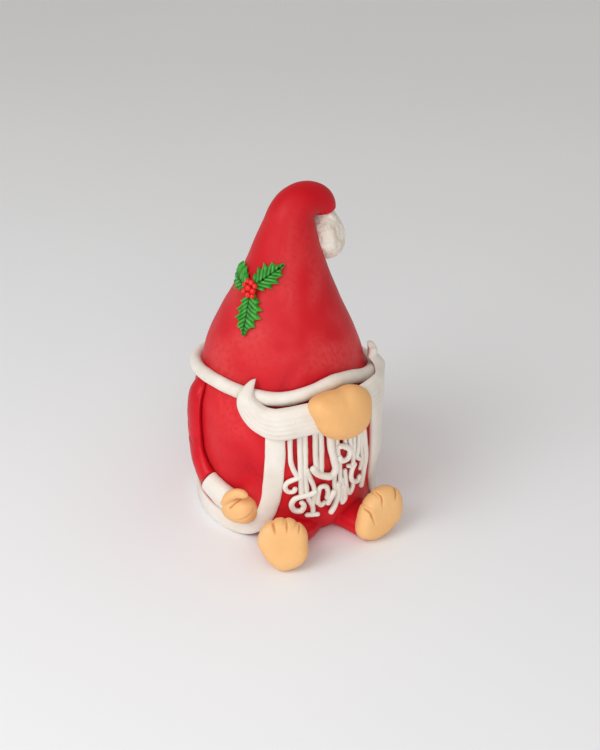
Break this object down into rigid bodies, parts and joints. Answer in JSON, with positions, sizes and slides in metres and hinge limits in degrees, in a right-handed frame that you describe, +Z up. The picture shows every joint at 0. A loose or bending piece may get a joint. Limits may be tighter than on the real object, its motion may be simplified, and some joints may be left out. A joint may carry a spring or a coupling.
{
  "type": "santa cake",
  "caption": "Tall festive cake modelled as a seated, bearded gnome in a bent red hat, all in sugar paste, with holly and a pompom on the hat.",
  "frame": {"origin": "on the ground, at the middle of the cake's flat underside", "axes": "+Z up the cake, the figure looks along -Y, +X is the figure's left"},
  "size_m": [0.2121, 0.2256, 0.333],
  "materials": {
    "red_fondant": "satin red sugar paste",
    "white_fondant": "matt off-white sugar paste",
    "skin_fondant": "satin peach sugar paste",
    "leaf_fondant": "satin green sugar paste",
    "berry_fondant": "glossy red sugar paste"
  },
  "bodies": {
    "root": {"body": "red_fondant", "hat": "red_fondant", "hat_trim": "white_fondant", "pompom": "white_fondant", "nose": "skin_fondant", "moustache_right": "white_fondant", "moustache_left": "white_fondant", "beard": "white_fondant", "jacket_trim": "white_fondant", "arm_right": "red_fondant", "arm_left": "red_fondant", "cuff_right": "white_fondant", "cuff_left": "white_fondant", "hand_right": "skin_fondant", "hand_left": "skin_fondant", "leg_right": "red_fondant", "leg_left": "red_fondant", "foot_right": "skin_fondant", "foot_left": "skin_fondant", "holly_leaf_1": "leaf_fondant", "holly_leaf_2": "leaf_fondant", "holly_leaf_3": "leaf_fondant", "holly_berries": "berry_fondant"}
  },
  "joints": []
}
